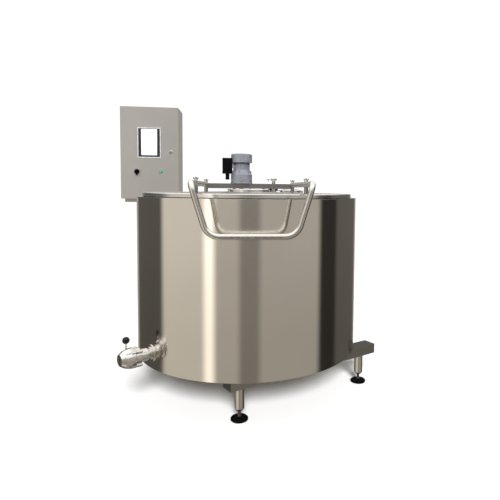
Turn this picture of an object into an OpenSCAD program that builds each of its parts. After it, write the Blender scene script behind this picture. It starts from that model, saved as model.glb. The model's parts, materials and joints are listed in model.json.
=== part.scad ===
/* [Tank] */
// Outside diameter of the tank's shell
tank_d = 1300; // [1000:10:1600]
// Height of the shell
shell_h = 900; // [750:10:1100]
// Clear height between the floor and the shell
ground_gap = 220; // [190:5:270]
// Thickness of the outer skin and of the bottom cover
skin_t = 2; // [1.5:0.5:4]
// Thickness of the inner vessel's sheet
vessel_t = 2; // [1.5:0.5:4]
// Thickness of the foam in the wall
foam_t = 46; // [30:2:70]
// Thickness of the foam under the evaporator
floor_foam = 42; // [30:2:70]
// Thickness of the evaporator plate
evap_t = 8; // [5:1:12]
// Thickness of the flat ring that closes the wall at the top
ring_t = 2; // [1.5:0.5:4]

/* [Lid] */
// How far the lid's edge stands inside the shell's edge
lid_inset = 30; // [20:1:40]
// Thickness of the lid's sheet
lid_t = 3; // [2:0.5:4]
// Height of the lid's upright rim
rim_h = 20; // [15:1:30]
// Rise of the lid from its rim to its middle
lid_rise = 8; // [5:1:20]
// Radius of the flat middle of the lid
lid_flat_r = 190; // [160:5:230]
// Radius of the raised boss
boss_r = 129; // [110:1:150]
// Height of the raised boss over the lid
boss_h = 16; // [10:1:25]
// Height of the gasket under the lid
gasket_h = 3; // [2:0.5:6]
// Width of the gasket
gasket_w = 14; // [10:1:20]
// Distance of each hinge from the middle plane
hinge_x = 150; // [100:5:250]
// Radius of the hinge pins
hinge_pin_r = 5; // [4:0.5:8]

/* [Bridge and handle] */
// Height of the bridge bar
bar_h = 30; // [25:1:40]
// Width of the bridge bar
bar_w = 40; // [30:1:60]
// Wall of the bridge bar
bar_wall = 2; // [1.5:0.5:3]
// Radius of the handle's tube
handle_r = 14.5; // [10:0.5:16]
// Wall of the handle's tube
handle_wall = 2; // [1.5:0.5:3]
// Offset of the bridge bar and the handle from the tank's axis, to the right
handle_shift = 5; // [0:1:10]
// Distance of the handle's arms from its middle at the bridge
handle_x_back = 262; // [240:2:280]
// Distance of the handle's arms from its middle at the front
handle_x_front = 284; // [260:2:300]
// Distance of the handle's front from the shell
handle_reach = 65; // [55:1:90]
// Drop of the handle's grip bar under the arms
handle_drop = 248; // [180:2:280]
// Half the length of the grip bar between its corner points
grip_half = 208; // [170:1:230]
// Bend radius of the grip bar's corners
grip_bend = 75; // [50:1:100]
// Bend radius between each arm and its leg
arm_bend = 38; // [30:1:50]
// Distance of the front studs from the lid's edge
stud_inset = 42; // [34:1:60]
// Radius of the studs' posts
post_r = 11; // [8:0.5:16]

/* [Drive and agitator] */
// Offset of the agitator's axis from the tank's axis
drive_x = -45; // [-60:1:0]
// Radius of the agitator's shaft
shaft_r = 10; // [8:0.5:14]
// Radius of the circle that the blades sweep
blade_reach = 190; // [120:5:210]
// Height of each blade
blade_h = 80; // [50:1:120]
// Gap between the blades and the vessel's floor
blade_gap = 40; // [25:1:80]
// Radius of the gearbox
gearbox_r = 65; // [58:1:72]
// Height of the gearbox's straight body
gearbox_h = 56; // [45:1:70]
// Height of the gearbox's upper cone
cone_h = 34; // [25:1:45]
// Radius of the motor over its fins
motor_r = 50; // [44:1:56]
// Height of the motor's finned body
motor_h = 36; // [30:1:60]
// Radius of the fan cowl
cowl_r = 63.5; // [58:0.5:70]
// Height of the fan cowl
cowl_h = 52; // [45:1:70]
// Number of cooling fins round the motor
fin_count = 20; // [12:1:28]

/* [Lid fittings] */
// Radius of the inspection port
port_r = 66; // [50:1:75]
// Inspection port, sideways from the tank's axis
port_x = 280; // [260:5:300]
// Inspection port, behind the tank's axis
port_y = 250; // [230:5:270]
// Cleaning stub, sideways from the tank's axis
stub_x = 158; // [150:1:170]
// Cleaning stub, behind the tank's axis
stub_y = 100; // [80:1:130]
// Radius of the cleaning stub's pipe
stub_r = 11; // [8:0.5:14]

/* [Outlet] */
// Direction of the outlet, seen from above
outlet_angle = -143; // [-160:1:-120]
// Inside radius of the outlet pipe
outlet_r = 25; // [19:0.5:32]
// Wall of the outlet pipe
outlet_wall = 1.5; // [1:0.5:3]
// Length of the outlet pipe outside the shell
outlet_len = 66; // [62:1:110]
// Radius of the valve's body
valve_r = 52; // [46:0.5:56]
// Length of the valve's body
valve_len = 102; // [98:1:130]
// Distance of the lever's stem from the inner end of the valve's body
stem_back = 40; // [39:1:46]
// Length of the smooth mouth that takes a hose or pipe
mouth_len = 24; // [18:1:30]
// Height of the lever's knob over the valve's axis
lever_h = 76; // [74:1:110]
// Radius of the lever's ball knob
knob_r = 18.5; // [14:0.5:22]

/* [Base] */
// Direction of the base beams, seen from above
beam_angle = 29.5; // [20:0.5:35]
// Width of a base beam
beam_w = 84; // [60:1:100]
// Height of a base beam
beam_h = 56; // [50:1:80]
// Wall of a base beam
beam_wall = 3; // [2:0.5:5]
// Distance of each beam's centre line from the shell's edge
beam_inset = 200; // [170:5:240]
// How far the beams pass the shell's edge at the far end, less than its radius
beam_setback = 40; // [10:1:60]
// Distance of the far legs from the shell's edge, along the beams
leg_far_inset = 151; // [145:1:200]
// Distance of the near legs from the shell's edge, along the beams
leg_near_inset = 323; // [280:1:340]
// Length of beam beyond the near legs
beam_stub = 62; // [35:1:80]
// Radius of the leg tubes
leg_r = 25; // [20:0.5:30]
// Wall of the leg tubes
leg_wall = 3; // [2:0.5:4]
// Height of the lower end of the leg tubes over the floor
leg_low = 52; // [50:1:90]
// Radius of the levelling spindles
spindle_r = 7; // [5:0.5:10]
// Radius of the foot pads
pad_r = 44; // [35:1:55]
// Height of the foot pads at their hub
pad_h = 20; // [15:1:28]

/* [Control cabinet] */
// Width of the cabinet
cab_w = 400; // [380:5:500]
// Height of the cabinet
cab_h = 650; // [600:10:800]
// Depth of the cabinet with its door
cab_d = 250; // [200:5:300]
// Sheet of the cabinet and its door
cab_t = 1.5; // [1:0.5:2.5]
// How far the cabinet's near side stands inside the shell's left edge
cab_inset_x = 157; // [140:1:160]
// How far the door stands inside the shell's rear edge
cab_inset_y = 66; // [50:1:70]
// Drop of the cabinet's underside below the shell's top
cab_drop = 30; // [20:1:60]
// Thickness of the door
door_t = 20; // [18:1:26]
// Width of the display's frame
display_w = 160; // [140:1:170]
// Height of the display's frame
display_h = 214; // [190:1:230]
// Side of the square tubes of the cabinet's bracket
arm_s = 25; // [20:1:30]

/* [Hidden] */
$fn = 192;
RUN = 0.05;                 // radial clearance of a running fit
REST = 0.3;                 // clearance between parts of different bodies
tank_r = tank_d / 2;
shell_bot = ground_gap;
shell_top = ground_gap + shell_h;
foam_r = tank_r - skin_t;
vessel_ro = foam_r - foam_t;
vessel_ri = vessel_ro - vessel_t;
wall_top = shell_top - ring_t;
floor_under = shell_bot + skin_t + floor_foam + evap_t;
floor_top = floor_under + vessel_t;
evap_r = vessel_ri - 40;
// lid heights, over the floor
lid_r = tank_r - lid_inset;
lid_low = shell_top + gasket_h + REST;
rim_top = lid_low + rim_h;
lid_top = rim_top + lid_rise;
boss_top = lid_top + boss_h;
rim_round = 3;
// hinge line
hinge_y = tank_r + 4;
hinge_z = lid_low + 16;
ear_t = 6;
knuckle_w = 22;
ear_gap = 1;
knuckle_r = 10;
// bridge and handle heights
bar_low = boss_top + 3;
bar_top = bar_low + bar_h;
handle_z = bar_top - handle_r + 8;   // the arms stand a little over the bar
handle_y = -(tank_r + handle_reach);
grip_z = handle_z - handle_drop;
stud_front_y = -sqrt(pow(lid_r - stud_inset, 2) - pow(handle_x_front, 2));
screw_r = 5;
nut_low = handle_z + handle_r;
// drive heights
gearbox_low = bar_top;
cone_low = gearbox_low + gearbox_h;
motor_low = cone_low + cone_h;
cowl_low = motor_low + motor_h;
cowl_top = cowl_low + cowl_h;
cowl_wall = 1.5;
rotor_r = 23;
air_gap = 0.5;
motor_shaft_r = 6;
blade_z = floor_top + blade_gap;
hub_r = 18;
// outlet stations, outwards from the tank's axis
outlet_z = floor_top + outlet_r;
pipe_ro = outlet_r + outlet_wall;
nut_len = 45;
nut_r = valve_r - 18;
mouth_r = outlet_r + 1;
valve_start = tank_r + outlet_len;
valve_end = valve_start + valve_len;
stem_s = valve_start + stem_back;
stem_r = 6;
// base
beam_off = tank_r - beam_inset;
leg_far = tank_r - leg_far_inset;
leg_near = -(tank_r - leg_near_inset);
beam_far = tank_r - beam_setback;
beam_near = leg_near - beam_stub;
beam_low = shell_bot - beam_h;
// cabinet box
cab_x1 = -(tank_r - cab_inset_x);
cab_x0 = cab_x1 - cab_w;
cab_y0 = tank_r - cab_inset_y;
cab_y1 = cab_y0 + cab_d;
cab_z0 = shell_top - cab_drop;
cab_z1 = cab_z0 + cab_h;
door_gap = 3;
box_y0 = cab_y0 + door_t + door_gap;
pivot_in = 6;               // door pivot, in from the door's edge and back
pivot_x = cab_x0 + pivot_in;
pivot_y = cab_y0 + door_t - pivot_in;
pivot_r = 2;
lug_r = 4;
lug_t = 5;
lug_clear = 1;
display_x = cab_x0 + 198;
display_z = cab_z0 + 398;
screen_w = 108;
screen_h = 182;
lock_x = cab_x1 - 53;
lock_z = cab_z0 + 332;
switch_x = cab_x0 + 111;
switch_z = cab_z0 + 193;
button_x = cab_x0 + 276;
button_z = cab_z0 + 195;
// the whole object's box, so that the origin lies under its middle
x_low = min(cab_x0, -(valve_end + 12) * cos(outlet_angle + 180));
x_high = max(tank_r, beam_far * cos(beam_angle) + (beam_off + beam_w / 2) * sin(beam_angle));
y_low = handle_y - handle_r;
y_high = cab_y1;
axis_x = -(x_low + x_high) / 2;
axis_y = -(y_low + y_high) / 2;

// ---------- helpers ----------
function unit(v) = v / norm(v);

// moves from the tank's axis to the part's own frame
module at_tank() {
    translate([axis_x, axis_y, 0]) children();
}

// frame of the outlet: +X outwards along the pipe, origin on the tank's axis
module at_outlet() {
    at_tank() translate([0, 0, outlet_z]) rotate([0, 0, outlet_angle]) children();
}

// frame of one base beam: +X along it; side is -1 for the front beam and 1 for the rear beam
module at_beam(side) {
    at_tank() rotate([0, 0, beam_angle]) translate([0, side * beam_off, 0]) children();
}

// frame of leg i, from 0 to 3; each leg is flush with its beam's outer face
module at_leg(i) {
    side = i < 2 ? -1 : 1;
    at_beam(side) translate([i % 2 == 0 ? leg_near : leg_far, side * (beam_w / 2 - leg_r), 0]) children();
}

module at_drive() {
    at_tank() translate([drive_x, 0, 0]) children();
}

module tube(ro, ri, h) {
    difference() {
        cylinder(r = ro, h = h);
        translate([0, 0, -1]) cylinder(r = ri, h = h + 2);
    }
}

module box(x0, x1, y0, y1, z0, z1) {
    translate([x0, y0, z0]) cube([x1 - x0, y1 - y0, z1 - z0]);
}

// cylinder from point a to point b, hollow when bore is over 0
module rod(a, b, r, bore = 0) {
    d = b - a;
    translate(a) rotate([0, acos(d.z / norm(d)), atan2(d.y, d.x)])
        if (bore > 0) tube(r, bore, norm(d));
        else cylinder(r = r, h = norm(d));
}

// elbow at corner b, between directions u (in) and v (out)
module elbow(b, u, v, bend, r, bore = 0) {
    turn = acos(u * v);
    n = unit(v - (u * v) * u);
    c = b - u * bend * tan(turn / 2) + n * bend;
    k = cross(-n, u);
    multmatrix([[-n.x, u.x, k.x, c.x], [-n.y, u.y, k.y, c.y], [-n.z, u.z, k.z, c.z], [0, 0, 0, 1]])
        rotate_extrude(angle = turn) translate([bend, 0]) difference() {
            circle(r = r);
            if (bore > 0) circle(r = bore);
        }
}

function trim_len(p, i, bends) =
    let (u = unit(p[i] - p[i - 1]), v = unit(p[i + 1] - p[i])) bends[i] * tan(acos(u * v) / 2);

// bent rod along points p; bends[i] is the bend radius at point i
// the straight lengths are let into the walls of the bends, which are a little thicker
module bent_rod(p, bends, r, bore) {
    last = len(p) - 1;
    let_in = 1;
    thick = 0.2;
    for (i = [0 : last - 1]) {
        u = unit(p[i + 1] - p[i]);
        t0 = i == 0 ? 0 : trim_len(p, i, bends) - let_in;
        t1 = i == last - 1 ? 0 : trim_len(p, i + 1, bends) - let_in;
        rod(p[i] + u * t0, p[i + 1] - u * t1, r, bore);
    }
    for (i = [1 : last - 1])
        elbow(p[i], unit(p[i] - p[i - 1]), unit(p[i + 1] - p[i]), bends[i], r + thick, bore - thick);
}

// disc with a rounded or bevelled edge, turned from a profile
module turned(profile) {
    rotate_extrude() polygon(profile);
}

// ---------- tank ----------
module outlet_hole(extra = 0) {
    at_outlet() translate([vessel_ri - 60, 0, 0]) rotate([0, 90, 0])
        cylinder(r = pipe_ro + extra, h = outlet_len + 100);
}

module outer_shell() color("silver") difference() {
    at_tank() translate([0, 0, shell_bot]) tube(tank_r, foam_r, shell_h - ring_t);
    outlet_hole();
}

module inner_vessel() color("gainsboro") difference() {
    at_tank() difference() {
        translate([0, 0, floor_under]) cylinder(r = vessel_ro, h = wall_top - floor_under);
        translate([0, 0, floor_top]) cylinder(r = vessel_ri, h = shell_h);
    }
    outlet_hole();
}

// suction and liquid stubs, below the evaporator
stub_pos = [[60, 11, 9.5], [-60, 6, 4.8]];
stub_back = 300;
stub_low = shell_bot - 15;

module at_stub(s) {
    at_tank() translate([s[0], stub_back, 0]) children();
}

module insulation() color("khaki") difference() {
    at_tank() difference() {
        translate([0, 0, shell_bot + skin_t]) cylinder(r = foam_r, h = wall_top - shell_bot - skin_t);
        translate([0, 0, floor_under]) cylinder(r = vessel_ro, h = shell_h);
        translate([0, 0, floor_under - evap_t]) cylinder(r = evap_r, h = shell_h);
    }
    outlet_hole();
    for (s = stub_pos) at_stub(s) cylinder(r = s[1], h = shell_top);
}

module evaporator_plate() color("lightsteelblue") difference() {
    union() {
        at_tank() translate([0, 0, floor_under - evap_t]) cylinder(r = evap_r, h = evap_t);
        for (s = stub_pos) at_stub(s) translate([0, 0, stub_low])
            cylinder(r = s[1], h = floor_under - evap_t - stub_low + 1);
    }
    for (s = stub_pos) at_stub(s) translate([0, 0, stub_low - 1])
        cylinder(r = s[2], h = floor_under - evap_t / 2 - stub_low + 1);
}

module bottom_cover() color("silver") difference() {
    at_tank() translate([0, 0, shell_bot]) cylinder(r = foam_r, h = skin_t);
    for (s = stub_pos) at_stub(s) cylinder(r = s[1], h = shell_top);
}

module top_ring() color("silver")
    at_tank() translate([0, 0, wall_top]) tube(tank_r, vessel_ri, ring_t);

module lid_gasket() color("black")
    at_tank() translate([0, 0, shell_top]) tube(lid_r - 1, lid_r - 1 - gasket_w, gasket_h);

// ---------- base ----------
module beam_tube() {
    difference() {
        box(beam_near, beam_far, -beam_w / 2, beam_w / 2, beam_low, shell_bot);
        box(beam_near - 1, beam_far + 1, -beam_w / 2 + beam_wall, beam_w / 2 - beam_wall,
            beam_low + beam_wall, shell_bot - beam_wall);
    }
}

module base_beams() color("silver")
    for (side = [-1, 1]) at_beam(side) beam_tube();

module beam_end_caps() color("gray")
    for (side = [-1, 1], end = [beam_near, beam_far - beam_wall]) at_beam(side)
        box(end, end + beam_wall, -beam_w / 2 + beam_wall, beam_w / 2 - beam_wall,
            beam_low + beam_wall, shell_bot - beam_wall);

nose_h = 10;
insert_h = 22;

module leg_tubes() color("silver")
    for (i = [0 : 3]) at_leg(i) difference() {
        turned([[0, leg_low], [leg_r - 8, leg_low], [leg_r, leg_low + nose_h], [leg_r, beam_low],
                [0, beam_low]]);
        translate([0, 0, leg_low + insert_h]) cylinder(r = leg_r - leg_wall, h = 200);
        translate([0, 0, leg_low - 1]) cylinder(r = spindle_r + RUN, h = insert_h + 2);
    }

module foot_spindle(i) color("dimgray")
    at_leg(i) {
        translate([0, 0, pad_h - 6]) cylinder(r = spindle_r, h = leg_low + insert_h + 12 - pad_h + 6);
        translate([0, 0, pad_h]) cylinder(r = spindle_r + 4, h = 8, $fn = 6);
    }

module foot_pad(i) color("black")
    at_leg(i) difference() {
        turned([[0, 0], [pad_r - 2, 0], [pad_r, 2], [pad_r, pad_h - 9], [pad_r - 4, pad_h - 5],
                [15, pad_h - 4], [13, pad_h], [0, pad_h]]);
        translate([0, 0, pad_h - 6]) cylinder(r = spindle_r, h = 10);
    }

// ---------- outlet ----------
module outlet_pipe() color("silver") at_outlet() difference() {
    union() {
        translate([vessel_ri - 30, 0, 0]) rotate([0, 90, 0])
            cylinder(r = pipe_ro, h = valve_start - vessel_ri + 30);
        // weld rosette on the shell
        rotate([0, 90, 0]) translate([0, 0, tank_r - 30]) cylinder(r = pipe_ro + 20, h = 34);
        rotate([0, 90, 0]) translate([0, 0, tank_r]) cylinder(r = pipe_ro + 9, h = 14);
    }
    translate([vessel_ri - 31, 0, 0]) rotate([0, 90, 0])
        cylinder(r = outlet_r, h = valve_start - vessel_ri + 40);
    // the vessel's inside stays clear, and the rosette follows the shell
    translate([0, 0, -200]) cylinder(r = vessel_ri, h = 400);
    translate([0, 0, -200]) difference() {
        cylinder(r = tank_r, h = 400);
        translate([0, 0, 200]) rotate([0, 90, 0]) cylinder(r = pipe_ro, h = tank_r * 2);
    }
}

// round nut with slots, on the pipe's end
module union_nut() color("silver") at_outlet() translate([valve_start - nut_len, 0, 0])
    rotate([0, 90, 0]) difference() {
        turned([[0, 0], [nut_r - 4, 0], [nut_r, 4], [nut_r, nut_len - 3],
                [nut_r - 3, nut_len], [0, nut_len]]);
        translate([0, 0, -1]) cylinder(r = pipe_ro, h = nut_len + 2);
        for (a = [0 : 60 : 300]) rotate([0, 0, a]) translate([nut_r - 4, -5, -1])
            cube([10, 10, nut_len + 2]);
    }

seat_r = outlet_r + 4;
groove_s = 29;              // groove between the valve's two halves, from its inner end
groove_w = 4;
drum_s = groove_s + groove_w;
ear_len = 22;               // length of the bolts' ears on the outer half
valve_ear_r = 9;
bolt_ring = valve_r - 4;
bolt_proud = 4;
bolt_r = 4;

module at_bolts() {
    for (a = [45 : 90 : 315]) rotate([a, 0, 0]) translate([valve_start, 0, bolt_ring])
        rotate([0, 90, 0]) children();
}

module valve_body() color("silver") at_outlet() difference() {
    union() {
        translate([valve_start, 0, 0]) rotate([0, 90, 0]) turned([
            [0, 0], [valve_r - 8, 0], [valve_r - 6, 2], [valve_r - 6, groove_s], [valve_r - 12, groove_s],
            [valve_r - 12, drum_s], [valve_r - 2, drum_s], [valve_r, drum_s + 2], [valve_r, valve_len - 48],
            [valve_r - 3, valve_len - 34], [valve_r - 8, valve_len - 20], [valve_r - 15, valve_len - 10],
            [valve_r - 22, valve_len], [0, valve_len]
        ]);
        at_bolts() cylinder(r = valve_ear_r, h = groove_s);
        at_bolts() translate([0, 0, drum_s]) cylinder(r = valve_ear_r, h = ear_len);
    }
    translate([valve_start - 1, 0, 0]) rotate([0, 90, 0]) cylinder(r = outlet_r, h = valve_len + 2);
    translate([valve_end - mouth_len, 0, 0]) rotate([0, 90, 0]) cylinder(r = mouth_r, h = mouth_len + 2);
    // seat for the sealing sleeve
    translate([stem_s - 14, 0, 0]) rotate([0, 90, 0]) cylinder(r = seat_r, h = 28);
    translate([stem_s, -80, 0]) rotate([-90, 0, 0]) cylinder(r = stem_r + RUN, h = 160);
    at_bolts() translate([0, 0, -1]) cylinder(r = bolt_r, h = valve_len);
}

module valve_seals() color("white") at_outlet() difference() {
    translate([stem_s - 14, 0, 0]) rotate([0, 90, 0]) cylinder(r = seat_r, h = 28);
    translate([stem_s - 15, 0, 0]) rotate([0, 90, 0]) cylinder(r = outlet_r, h = 30);
    translate([stem_s, -80, 0]) rotate([-90, 0, 0]) cylinder(r = stem_r + RUN, h = 160);
}

module valve_bolts() color("gray") at_outlet() at_bolts() {
    translate([0, 0, -bolt_proud]) cylinder(r = bolt_r + 2, h = bolt_proud, $fn = 6);
    translate([0, 0, -bolt_proud]) cylinder(r = bolt_r, h = drum_s + ear_len + 2 * bolt_proud);
}

// stem across the pipe, with the disc that closes it
module valve_disc() color("silver") at_outlet() {
    difference() {
        translate([stem_s - 2.5, 0, 0]) rotate([0, 90, 0]) cylinder(r = outlet_r - REST, h = 5);
        translate([stem_s, 0, 0]) rotate([90, 0, 0]) cylinder(r = stem_r, h = 80, center = true);
    }
    translate([stem_s, valve_r - 2, 0]) rotate([90, 0, 0]) cylinder(r = stem_r, h = 2 * valve_r + 14);
}

lever_y = -(valve_r + 6);

module valve_lever() color("silver") at_outlet() difference() {
    union() {
        translate([stem_s, lever_y, 0]) rotate([90, 0, 0]) cylinder(r = 12, h = 7);
        rod([stem_s, lever_y - 3.5, 0], [stem_s, lever_y - 3.5, lever_h - knob_r + 6], 3.5);
    }
    translate([stem_s, 0, 0]) rotate([90, 0, 0]) cylinder(r = stem_r, h = 120);
}

module lever_knob() color("black") at_outlet() translate([stem_s, lever_y - 3.5, lever_h])
    difference() {
        sphere(r = knob_r);
        translate([0, 0, -knob_r - 1]) cylinder(r = 3.5, h = 7);
    }

// ---------- lid ----------
// outline of the lid's outer side, from the middle to the rim
lid_outline = [
    [0, boss_top], [boss_r - 3, boss_top], [boss_r, boss_top - 3], [boss_r, lid_top],
    [lid_flat_r, lid_top], [lid_r - rim_round, rim_top], [lid_r, rim_top - rim_round], [lid_r, lid_low]
];

module lid_form() {
    turned(concat(lid_outline, [[0, lid_low]]));
}

lip_w = gasket_w + 2;

module lid_shell() color("silver") at_tank() difference() {
    turned(concat(lid_outline, [
        [lid_r - lip_w, lid_low], [lid_r - lip_w, lid_low + lid_t], [lid_r - lid_t, lid_low + lid_t],
        [lid_r - lid_t, rim_top - rim_round - 1], [lid_r - lid_t - 2, rim_top - lid_t],
        [lid_flat_r, lid_top - lid_t], [boss_r - lid_t, lid_top - lid_t],
        [boss_r - lid_t, boss_top - lid_t], [0, boss_top - lid_t]
    ]));
    translate([drive_x, 0, 0]) cylinder(r = seal_r, h = 2 * shell_top);
    translate([port_x, port_y, 0]) cylinder(r = port_r, h = 2 * shell_top);
    translate([stub_x, stub_y, 0]) cylinder(r = stub_r, h = 2 * shell_top);
}

seal_r = 16;

module shaft_seal() color("black") at_drive() difference() {
    union() {
        translate([0, 0, boss_top - lid_t - 8]) cylinder(r = seal_r, h = lid_t + 10);
        translate([0, 0, boss_top - lid_t - 8]) cylinder(r = seal_r + 8, h = 8);
    }
    cylinder(r = shaft_r + RUN, h = 2 * shell_top);
}

module at_hinge(side) {
    at_tank() translate([side * hinge_x, hinge_y, hinge_z]) children();
}

ear_x = knuckle_w / 2 + ear_gap;

module hinge_brackets() color("silver") difference() {
    for (side = [-1, 1]) at_hinge(side) {
        for (s = [-1, 1]) translate([s > 0 ? ear_x : -ear_x - ear_t, 0, 0]) {
            rotate([0, 90, 0]) cylinder(r = knuckle_r, h = ear_t);
            translate([0, -knuckle_r, -80]) cube([ear_t, 2 * knuckle_r, 80]);
        }
        translate([-ear_x - ear_t, -24, -80]) cube([2 * (ear_x + ear_t), 24 + knuckle_r, 50]);
    }
    for (side = [-1, 1]) at_hinge(side) translate([-60, 0, 0]) rotate([0, 90, 0])
        cylinder(r = hinge_pin_r, h = 120);
    at_tank() translate([0, 0, shell_bot]) cylinder(r = tank_r, h = shell_h);
}

module hinge_pins() color("gray") for (side = [-1, 1]) at_hinge(side) {
    w = ear_x + ear_t + 1;
    translate([-w, 0, 0]) rotate([0, 90, 0]) cylinder(r = hinge_pin_r, h = 2 * w);
    for (s = [-w - 3, w]) translate([s, 0, 0]) rotate([0, 90, 0]) cylinder(r = hinge_pin_r + 2, h = 3);
}

leaf_len = 110;

module hinge_leaves() color("silver") difference() {
    for (side = [-1, 1]) at_hinge(side) {
        translate([-knuckle_w / 2, 0, 0]) rotate([0, 90, 0]) cylinder(r = knuckle_r - 1, h = knuckle_w);
        translate([-knuckle_w / 2, -leaf_len, 3]) cube([knuckle_w, leaf_len, 7]);
    }
    for (side = [-1, 1]) at_hinge(side) translate([-60, 0, 0]) rotate([0, 90, 0])
        cylinder(r = hinge_pin_r + RUN, h = 120);
    at_tank() lid_form();
}

module bridge_bar() color("silver") at_tank() difference() {
    union() {
        box(handle_shift - handle_x_back, handle_shift + handle_x_back,
            -bar_w / 2, bar_w / 2, bar_low, bar_top);
        for (x = [-100, 80]) box(x, x + 20, -bar_w / 2, bar_w / 2, boss_top, bar_low + 1);
        // lifting lug on the front of the bar
        difference() {
            box(0, 12, -bar_w / 2 - 26, -bar_w / 2 + 1, bar_low - 2, bar_top);
            translate([-1, -bar_w / 2 - 13, bar_low + bar_h / 2]) rotate([0, 90, 0])
                cylinder(r = 7, h = 20);
        }
    }
    box(handle_shift - handle_x_back - 1, handle_shift + handle_x_back + 1,
        -bar_w / 2 + bar_wall, bar_w / 2 - bar_wall, bar_low + bar_wall, bar_top - bar_wall);
    translate([drive_x, 0, bar_low - 5]) cylinder(r = shaft_r + 4, h = bar_h + 10);
    translate([handle_shift, 0, 0]) arm_form(handle_r);
    for (side = [-1, 1]) translate([handle_shift + side * arm_x(0), 0, 0])
        cylinder(r = post_r, h = 2 * shell_top);
}

handle_points = [
    [-handle_x_back, bar_w / 2, handle_z], [-handle_x_front, handle_y, handle_z],
    [-grip_half, handle_y, grip_z], [grip_half, handle_y, grip_z],
    [handle_x_front, handle_y, handle_z], [handle_x_back, bar_w / 2, handle_z]
];
handle_bends = [0, arm_bend, grip_bend, grip_bend, arm_bend, 0];

// the left and right arms from their ends to the front corners, as a solid envelope
module arm_form(r) {
    for (i = [0, 4]) rod(handle_points[i], handle_points[i + 1], r);
}

function arm_x(y) = handle_x_back
    + (handle_x_front - handle_x_back) * (bar_w / 2 - y) / (bar_w / 2 - handle_y);

stud_y = [stud_front_y, 0];

module at_handle() {
    at_tank() translate([handle_shift, 0, 0]) children();
}

module at_studs() {
    for (side = [-1, 1], y = stud_y) at_handle() translate([side * arm_x(y), y, 0]) children();
}

module lift_handle() color("silver") difference() {
    at_handle() {
        bent_rod(handle_points, handle_bends, handle_r, handle_r - handle_wall);
        // plugs that close the tube's ends
        for (i = [0, 4]) {
            end = handle_points[i == 0 ? 0 : 5];
            rod(end, end + handle_wall * unit(handle_points[i == 0 ? 1 : 4] - end), handle_r - handle_wall / 2);
        }
    }
    at_studs() translate([0, 0, handle_z - 50]) cylinder(r = screw_r, h = 100);
}

module handle_studs() color("gray") difference() {
    at_studs() {
        translate([0, 0, lid_low + 1]) cylinder(r = post_r, h = handle_z - lid_low - 5);
        translate([0, 0, handle_z - handle_r - 1]) cylinder(r = screw_r, h = 2 * handle_r + 18);
    }
    at_tank() lid_form();
    difference() {
        at_handle() arm_form(handle_r);
        at_studs() translate([0, 0, handle_z - 50]) cylinder(r = screw_r, h = 100);
    }
}

module wing_nuts() color("gray") at_studs() translate([0, 0, nut_low]) difference() {
    union() {
        turned([[0, 0], [11, 0], [11, 2], [8, 3], [7, 11], [0, 11]]);
        for (s = [-1, 1]) rotate([90, 0, 0]) translate([0, 0, -1.5]) linear_extrude(height = 3)
            polygon([[s * 5, 3], [s * 8, 3], [s * 14, 11], [s * 13, 16], [s * 10, 16], [s * 5, 9]]);
    }
    translate([0, 0, -1]) cylinder(r = screw_r, h = 30);
}

// ---------- lid fittings ----------
port_wall = 4;
port_top = rim_top + 13;
cover_r = port_r + port_wall + 3;
cover_low = port_top + REST;

module at_port() {
    at_tank() translate([port_x, port_y, 0]) children();
}

module inspection_ring() color("silver") difference() {
    union() {
        at_port() translate([0, 0, lid_low + 1]) cylinder(r = port_r + port_wall, h = port_top - lid_low - 1);
        // ears for the cover's pin
        for (s = [-1, 1]) at_port() translate([0, s > 0 ? 9 : -15, 0])
            box(port_r, cover_r + 12, 0, 6, lid_low + 1, cover_low + 4);
    }
    at_port() cylinder(r = port_r, h = 2 * shell_top);
    at_port() translate([cover_r + 6, -30, cover_low]) rotate([-90, 0, 0]) cylinder(r = 2.5, h = 60);
    at_port() translate([0, 0, port_top]) cylinder(r = cover_r + 2.5, h = 40);
    at_tank() lid_form();
}

module inspection_cover() color("silver") at_port() difference() {
    union() {
        turned([[0, cover_low], [cover_r, cover_low], [cover_r, cover_low + 4], [cover_r - 4, cover_low + 7],
                [cover_r * 0.6, cover_low + 13], [cover_r * 0.25, cover_low + 15.5], [0, cover_low + 16]]);
        // tongue to the pin, and the pin itself
        box(cover_r - 6, cover_r + 6, -8, 8, cover_low, cover_low + 4);
        translate([cover_r + 6, -8, cover_low]) rotate([-90, 0, 0]) cylinder(r = 4.5, h = 16);
        translate([cover_r + 6, -16, cover_low]) rotate([-90, 0, 0])
            cylinder(r = 2.5 - RUN, h = 32);
        // tail under the grip
        box(-cover_r - 26, -cover_r + 6, -7, 7, cover_low, cover_low + 4);
    }
    // hollow underside
    turned([[0, cover_low + 4], [0, cover_low - 1], [port_r - 4, cover_low - 1], [port_r - 4, cover_low + 2],
            [cover_r * 0.6, cover_low + 10], [cover_r * 0.25, cover_low + 12.5], [0, cover_low + 13]]);
}

grip_len = 62;

module cover_grip() color("black") at_port() difference() {
    translate([-cover_r - 10 - grip_len, 0, cover_low - 8]) rotate([90, 0, 0])
        translate([0, 0, -13]) linear_extrude(height = 26) polygon([
            [0, 6], [4, 0], [grip_len - 22, 0], [grip_len, 12], [grip_len, 18], [grip_len - 14, 30],
            [6, 30], [0, 24]
        ]);
    box(-cover_r - 26, -cover_r + 6, -7, 7, cover_low, cover_low + 4);
    translate([-port_x, -port_y, REST]) lid_form();
}

clamp_low = bar_top + 20;

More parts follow.
